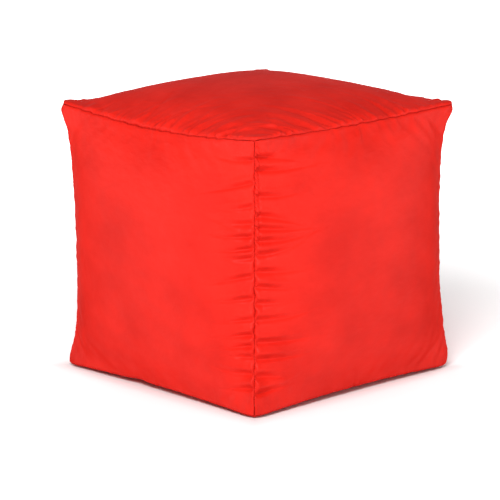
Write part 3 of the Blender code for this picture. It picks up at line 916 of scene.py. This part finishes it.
def tube_mesh(name, line, radius, sides):
    """A closed tube along a line of points."""
    way = np.gradient(line, axis=0)
    way /= np.linalg.norm(way, axis=1, keepdims=True)
    flank = np.cross(way, (1.0, 0.0, 0.0))
    flank /= np.linalg.norm(flank, axis=1, keepdims=True)
    rise = np.cross(way, flank)
    angles = np.linspace(0, 2 * math.pi, sides, endpoint=False)
    sideways = np.cos(angles)[None, :, None] * flank[:, None]
    ring = sideways + np.sin(angles)[None, :, None] * rise[:, None]
    points = (line[:, None] + radius * ring).reshape(-1, 3)
    return mesh_of(name, points.tolist(), tube_quads(0, len(line), sides))


def build_zips(looks):
    for prefix in ("", "liner_"):
        tape_slot, coil_slot = prefix + "zip_tape", prefix + "zip_coil"
        for half in ("_upper", "_lower"):
            tape, coil = tape_slot + half, coil_slot + half
            data = tape_mesh(tape, *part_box(tape))
            piece = place(tape + "_cloth", data, looks[tape_slot], tape_slot, [tape])
            walled(piece, TAPE_THICKNESS)
            data = coil_mesh(coil, *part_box(coil))
            place(coil + "_teeth", data, looks[coil_slot], coil_slot, [coil])


# ---------------- liner and beads


def inner_form(face, across, up, inset, back):
    """The cover's form drawn in by an inset, for what lies inside it. At the zips it is held at y = back."""
    form = form_of(face, across, up)
    across_share = (HALF - inset) / HALF
    up_share = (CORNER_HEIGHT - 2 * inset) / CORNER_HEIGHT
    middle = np.array((0, 0, CORNER_HEIGHT / 2))
    form = middle + (form - middle) * (across_share, across_share, up_share)
    if face == "back":
        hold = zip_hold(form, LINER_ZIP_HEIGHT, LINER_FLAT_HALF_HEIGHT, LINER_FADE)
        form[..., 1] += hold * (back - form[..., 1])
    return form


def with_line(lines, value):
    """The lines, with the one nearest to a value moved onto it."""
    lines = lines.copy()
    lines[np.argmin(np.abs(lines - value))] = value
    return lines


def liner_row(height, inset):
    """The share at which the back of what is inside the cover has that height, along the zip."""
    low, high = heights(points_of("back", np.array(SLOT_SHARE), np.array(0.0)), 1)
    middle = CORNER_HEIGHT / 2
    before_inset = middle + (height - middle) * CORNER_HEIGHT / (CORNER_HEIGHT - 2 * inset)
    return 2 * (before_inset - low) / (high - low) - 1


def welded(name, inset, back, slotted=False):
    """A closed bag of six faces, welded along their edges. It may have a slot for the liner's zip."""
    columns = rows = shares(*LINER_LINES)
    for side in (-1, 1):
        columns = with_line(columns, side * SLOT_HALF_LENGTH / (HALF - inset))
        rows = with_line(rows, liner_row(LINER_ZIP_HEIGHT + side * SLOT_HALF_HEIGHT, inset))
    made = bmesh.new()
    for face in FACES:
        across, up = np.meshgrid(columns, columns if face in ("top", "base") else rows)
        form = inner_form(face, across, up, inset, back)
        points = [[made.verts.new(p) for p in row] for row in form]
        middles = (form[1:, 1:] + form[:-1, :-1]) / 2
        open_here = (np.abs(middles[..., 0]) < SLOT_HALF_LENGTH) & (face == "back") & slotted
        open_here &= np.abs(middles[..., 2] - LINER_ZIP_HEIGHT) < SLOT_HALF_HEIGHT
        for j, i in np.argwhere(~open_here):
            made.faces.new((points[j][i], points[j][i + 1], points[j + 1][i + 1], points[j + 1][i]))
    bmesh.ops.remove_doubles(made, verts=made.verts, dist=WELD)
    loose = [vert for vert in made.verts if not vert.link_faces]
    bmesh.ops.delete(made, geom=loose, context="VERTS")
    data = bpy.data.meshes.new(name)
    made.to_mesh(data)
    made.free()
    data.shade_smooth()
    return data


def build_inside(looks):
    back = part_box("liner_zip_tape_upper")[1].y + LINER_OVER_TAPE
    data = welded("liner_bag", LINER_INSET, back, slotted=True)
    liner = place("liner_bag", data, looks["liner_fabric"], "liner_fabric", ["inner_liner"])
    walled(liner, LINER_THICKNESS)
    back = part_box("liner_zip_slider")[0].y - FILL_BEHIND_SLIDER
    data = welded("bead_filling", FILL_INSET, back)
    beads = place("bead_filling", data, looks["beads"], "beads", ["bead_fill"])


# ---------------- materials


class Look:
    """A material and the nodes that feed its Principled shader."""

    def __init__(self, name, roughness, **values):
        self.material = bpy.data.materials.new(name)
        self.material.use_nodes = True
        self.tree = self.material.node_tree
        self.shader = self.tree.nodes["Principled BSDF"]
        self.shader.inputs["Roughness"].default_value = roughness
        for socket, value in values.items():
            self.shader.inputs[socket.replace("_", " ")].default_value = value

    def node(self, kind, **values):
        """A node with those settings, and those values at its sockets, where _ stands for a space."""
        made = self.tree.nodes.new("ShaderNode" + kind)
        for name, value in values.items():
            socket = name.replace("_", " ")
            if socket in made.inputs:
                made.inputs[socket].default_value = value
            else:
                setattr(made, name, value)
        return made

    def feed(self, socket, source):
        """Links a value to a socket of the shader."""
        self.link(source, self.shader.inputs[socket])

    def link(self, source, target):
        self.tree.links.new(source, target)

    def on_cloth(self, scale=(1, 1, 1), turn=0.0):
        """Places on the flat cloth, in metres, times a scale."""
        mapping = self.node("Mapping", Scale=scale, Rotation=(0, 0, turn))
        self.link(self.node("UVMap", uv_map="cloth").outputs["UV"], mapping.inputs["Vector"])
        return mapping.outputs["Vector"]

    def in_space(self, scale=1):
        """Places in the object's own space, in metres, times a scale."""
        mapping = self.node("Mapping", Scale=(scale, scale, scale))
        self.link(self.node("TexCoord").outputs["Object"], mapping.inputs["Vector"])
        return mapping.outputs["Vector"]

    def noise(self, place, scale, detail=2.0):
        made = self.node("TexNoise", Scale=scale, Detail=detail)
        self.link(place, made.inputs["Vector"])
        return made.outputs["Fac"]

    def ramp(self, source, low, high, first, last):
        made = self.node("ValToRGB")
        made.color_ramp.elements[0].position = low
        made.color_ramp.elements[1].position = high
        made.color_ramp.elements[0].color = (*first, 1)
        made.color_ramp.elements[1].color = (*last, 1)
        self.link(source, made.inputs["Fac"])
        return made.outputs["Color"]

    def spread(self, source, low, high):
        """A value between 0 and 1, spread between low and high."""
        made = self.node("MapRange", To_Min=low, To_Max=high)
        self.link(source, made.inputs["Value"])
        return made.outputs["Result"]

    def risen(self, source, start, end, top):
        """0 up to the start, and top from the end, with a smooth rise between them."""
        made = self.node("MapRange", From_Min=start, From_Max=end, To_Max=top)
        made.interpolation_type = "SMOOTHSTEP"
        self.link(source, made.inputs["Value"])
        return made.outputs["Result"]

    def bump(self, height, strength, distance, after=None):
        made = self.node("Bump", Strength=strength, Distance=distance)
        self.link(height, made.inputs["Height"])
        if after:
            self.link(after, made.inputs["Normal"])
        return made.outputs["Normal"]

    def colour(self, source, low, high, first, last):
        """Colours the material by a value: the first colour up to low, and the last from high."""
        self.feed("Base Color", self.ramp(source, low, high, first, last))

    def threads(self, place, bands):
        made = self.node("TexWave", bands_direction=bands, Scale=1.0, Distortion=0.0)
        self.link(place, made.inputs["Vector"])
        return made.outputs["Fac"]


def cover_look():
    """Bright red satin-faced polyester."""
    look = Look("cover_red_satin", 0.42, Specular_IOR_Level=0.10)
    cloth = look.on_cloth()
    mottled = look.noise(cloth, scale=14.0, detail=3.0)
    look.colour(mottled, 0.3, 0.7, (0.57, 0.0112, 0.0060), (0.69, 0.0164, 0.0092))
    rough = look.node("Math", operation="ADD", use_clamp=True)
    look.link(look.spread(look.noise(cloth, scale=40.0), 0.38, 0.48), rough.inputs[0])
    turned = look.node("LayerWeight", Blend=0.5).outputs["Facing"]
    look.link(look.risen(turned, 0.30, 0.62, 0.55), rough.inputs[1])
    look.feed("Roughness", rough.outputs["Value"])
    weave = look.threads(look.on_cloth((320, 320, 1), math.radians(45)), "X")
    crumpled = look.noise(cloth, scale=110.0, detail=4.0)
    creased = look.noise(cloth, scale=42.0, detail=3.0)
    relief = look.bump(weave, 0.15, 0.0001)
    relief = look.bump(crumpled, 0.5, 0.0009, relief)
    relief = look.bump(creased, 0.5, 0.0030, relief)
    look.feed("Normal", relief)
    return look.material


def thread_look():
    look = Look("red_thread", 0.6, Specular_IOR_Level=0.1)
    twist = look.threads(look.in_space(900), "DIAGONAL")
    # The thread is a darker red than the cover, which paints the shade along the seam lines; its light and
    # dark twist bands are the thread's own pattern.
    look.colour(twist, 0.2, 0.8, (0.30, 0.006, 0.004), (0.50, 0.010, 0.006))
    look.feed("Normal", look.bump(twist, 0.4, 0.0001))
    return look.material


def tape_look(name, dark, light):
    look = Look(name, 0.7, Sheen_Weight=0.2)
    rib = look.threads(look.on_cloth((500, 250, 1), math.radians(35)), "X")
    look.colour(rib, 0.2, 0.8, dark, light)
    look.feed("Normal", look.bump(rib, 0.6, 0.0002))
    return look.material


def coil_look(name, dark, light):
    look = Look(name, 0.32)
    look.colour(look.noise(look.in_space(), scale=300.0), 0.3, 0.7, dark, light)
    return look.material


def metal_look():
    look = Look("zip_nickel", 0.28, Metallic=1.0)
    worn = look.noise(look.in_space(), scale=400.0, detail=6.0)
    look.colour(worn, 0.35, 0.65, (0.52, 0.52, 0.53), (0.72, 0.72, 0.73))
    look.feed("Roughness", look.spread(worn, 0.22, 0.42))
    look.feed("Normal", look.bump(worn, 0.15, 0.0001))
    return look.material


def liner_look():
    look = Look("white_nonwoven", 0.85)
    fibres = look.noise(look.in_space(), scale=900.0, detail=6.0)
    look.colour(fibres, 0.3, 0.7, (0.66, 0.66, 0.64), (0.82, 0.82, 0.80))
    look.feed("Normal", look.bump(fibres, 0.5, 0.0003))
    return look.material


def bead_look():
    look = Look("polystyrene_beads", 0.6)
    cells = look.node("TexVoronoi", Scale=240.0)
    look.link(look.in_space(), cells.inputs["Vector"])
    # Each bead is lighter in its middle and darker towards the rim of its cell: painted shade between the
    # beads.
    look.colour(cells.outputs["Distance"], 0.2, 0.7, (0.92, 0.92, 0.90), (0.55, 0.55, 0.54))
    lowered = look.node("Math", operation="SUBTRACT")
    lowered.inputs[0].default_value = 1.0
    look.link(cells.outputs["Distance"], lowered.inputs[1])
    look.feed("Normal", look.bump(lowered.outputs[0], 1.0, 0.002))
    return look.material


def make_looks():
    return {
        "cover_fabric": cover_look(),
        "thread": thread_look(),
        "zip_tape": tape_look("red_zip_tape", (0.38, 0.010, 0.008), (0.60, 0.018, 0.012)),
        "zip_coil": coil_look("red_zip_coil", (0.40, 0.010, 0.008), (0.55, 0.016, 0.012)),
        "zip_metal": metal_look(),
        "liner_fabric": liner_look(),
        "liner_zip_tape": tape_look("white_zip_tape", (0.60, 0.60, 0.58), (0.80, 0.80, 0.78)),
        "liner_zip_coil": coil_look("white_zip_coil", (0.70, 0.70, 0.68), (0.82, 0.82, 0.80)),
        "beads": bead_look(),
    }


def finish_metal(nodes, look):
    """The carried-over metal parts of both zips take the metal's look."""
    for name, node in nodes.items():
        if name.endswith(("_stop", "_slider", "zip_pull")):
            node.data.materials.clear()
            node.data.materials.append(look)


# ---------------- studio


def glow_around(look):
    """The floor's glow, none under the object and rising away from it: painted shade on the floor around the
    object, and the soft edge of its contact shadow.
    """
    parts = look.node("SeparateXYZ")
    look.link(look.node("TexCoord").outputs["Object"], parts.inputs[0])
    sizes = []
    for axis in "XY":
        size = look.node("Math", operation="ABSOLUTE")
        look.link(parts.outputs[axis], size.inputs[0])
        sizes.append(size.outputs[0])
    farther = look.node("Math", operation="MAXIMUM")
    look.link(sizes[0], farther.inputs[0])
    look.link(sizes[1], farther.inputs[1])
    total = look.node("Math", operation="ADD")
    for k, (start, end, top) in enumerate(FLOOR_GLOWS):
        look.link(look.risen(farther.outputs[0], start, end, top), total.inputs[k])
    return total.outputs[0]


def build_floor():
    """A white floor that ends in low white walls, far away."""
    data = bpy.data.meshes.new("floor")
    square = ((-1, -1), (1, -1), (1, 1), (-1, 1))
    points = [(x * FLOOR_REACH, y * FLOOR_REACH, z) for z in (0, WALL_HEIGHT) for x, y in square]
    walls = [(k, k + 4, (k + 1) % 4 + 4, (k + 1) % 4) for k in range(4)]
    data.from_pydata(points, [], [(0, 1, 2, 3), *walls])
    floor = added("floor", data)
    white = (FLOOR_WHITE, FLOOR_WHITE, FLOOR_WHITE, 1)
    look = Look("floor_white", 0.9, Base_Color=white, Specular_IOR_Level=0.1, Emission_Color=(1, 1, 1, 1))
    look.feed("Emission Strength", glow_around(look))
    data.materials.append(look.material)


def around(azimuth, elevation):
    """A light's place around the object: azimuth 0 is in front of it, and 90 on its right."""
    turn, rise = math.radians(azimuth), math.radians(elevation)
    flat = math.cos(rise)
    return Vector((math.sin(turn) * flat, -math.cos(turn) * flat, math.sin(rise))) * LIGHT_DISTANCE


def add_light(name, where, size, power):
    light = bpy.data.lights.new(name, "AREA")
    light.size = size
    light.energy = power
    made = added(name, light)
    made.location = where + Vector((0, 0, CORNER_HEIGHT / 2))
    made.rotation_euler = (-where).to_track_quat("-Z", "Y").to_euler()


def build_lights():
    for name, (azimuth, elevation, size, power) in LIGHTS.items():
        add_light(name, around(azimuth, elevation), size, power)
    world = bpy.data.worlds.new("studio")
    world.use_nodes = True
    background = world.node_tree.nodes["Background"]
    background.inputs["Color"].default_value = (1, 1, 1, 1)
    background.inputs["Strength"].default_value = ROOM_LIGHT
    bpy.context.scene.world = world
    bpy.context.scene.view_settings.view_transform = "Standard"


def build_camera():
    flat = math.cos(ELEVATION)
    forward = Vector((-math.sin(AZIMUTH) * flat, math.cos(AZIMUTH) * flat, -math.sin(ELEVATION)))
    right = Vector((math.cos(AZIMUTH), math.sin(AZIMUTH), 0))
    camera = added("camera", bpy.data.cameras.new("camera"))
    camera.location = Vector((0, 0, AIM_HEIGHT)) + right * AIM_RIGHT - forward * DISTANCE
    camera.rotation_euler = forward.to_track_quat("-Z", "Y").to_euler()
    camera.data.lens = LENS
    camera.data.sensor_width = 36.0
    bpy.context.scene.camera = camera


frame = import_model()
ZIP_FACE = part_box("zip_tape_upper")[1].y + HEM_OVER_TAPE  # where the back is held, along Y
build_camera()
build_floor()
build_lights()
looks = make_looks()
finish_metal(frame["nodes"], looks["zip_metal"])
grids = build_panels(looks["cover_fabric"], simulated())
build_stitching(looks["thread"], grids)
build_zips(looks)
build_inside(looks)
